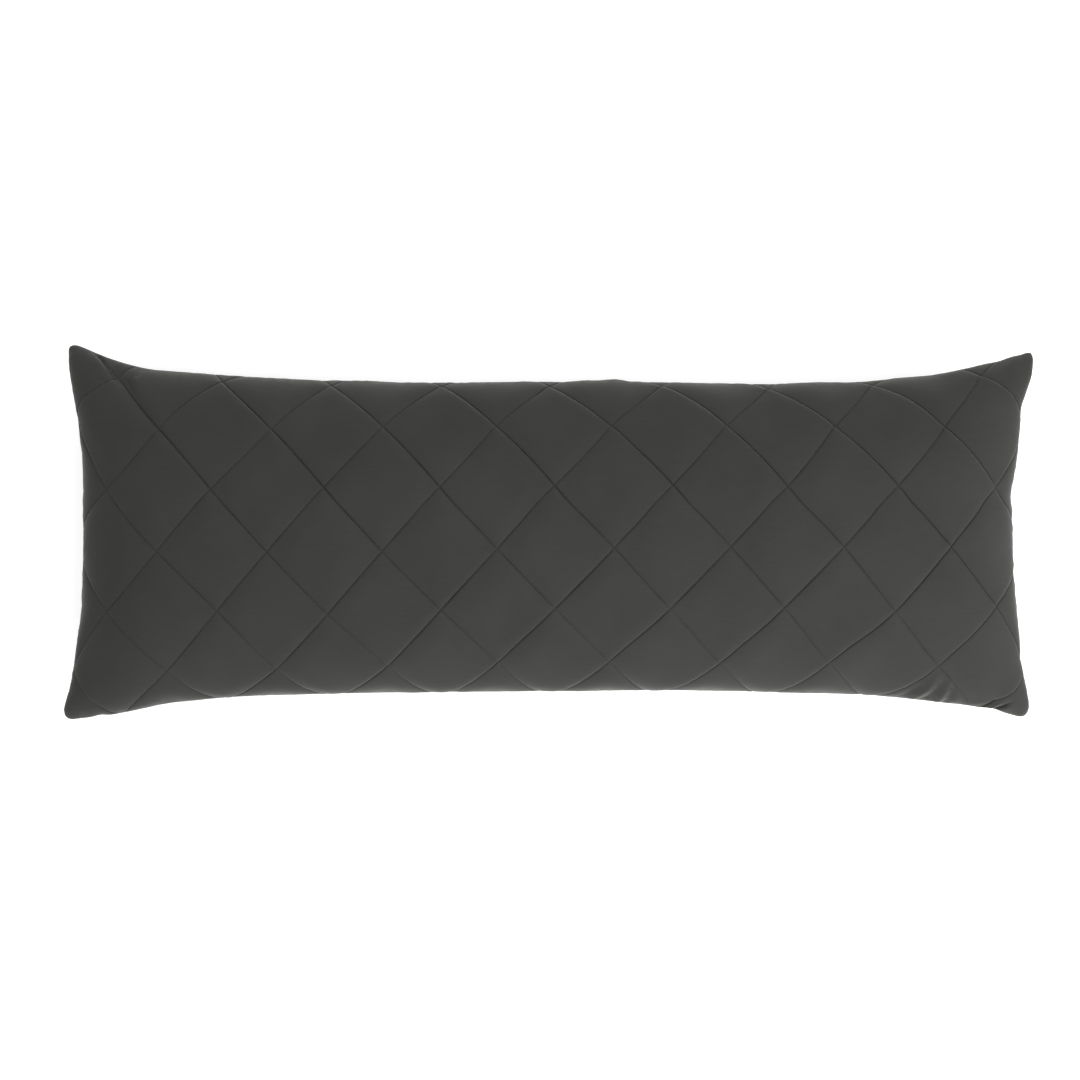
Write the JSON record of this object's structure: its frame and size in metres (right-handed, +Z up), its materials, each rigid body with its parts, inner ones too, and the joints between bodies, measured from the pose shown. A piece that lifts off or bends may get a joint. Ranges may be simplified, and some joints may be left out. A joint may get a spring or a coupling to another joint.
{
  "type": "quilted body pillow",
  "caption": "Long filled body pillow, diamond-quilted on both panels, with a knife-edge seam, drawn-in sides and four soft corners, lying on its back.",
  "frame": {"origin": "on the surface that the pillow lies on, under the middle of its outline", "axes": "+X along the pillow's length, +Y across its width towards the edge at the top of the picture, +Z up out of the upper panel"},
  "size_m": [1.2834, 0.4962, 0.2027],
  "materials": {
    "brushed_cloth": "charcoal brushed microfibre, matt with a soft sheen at grazing angles"
  },
  "bodies": {
    "root": {"pillow": "brushed_cloth"}
  },
  "joints": []
}
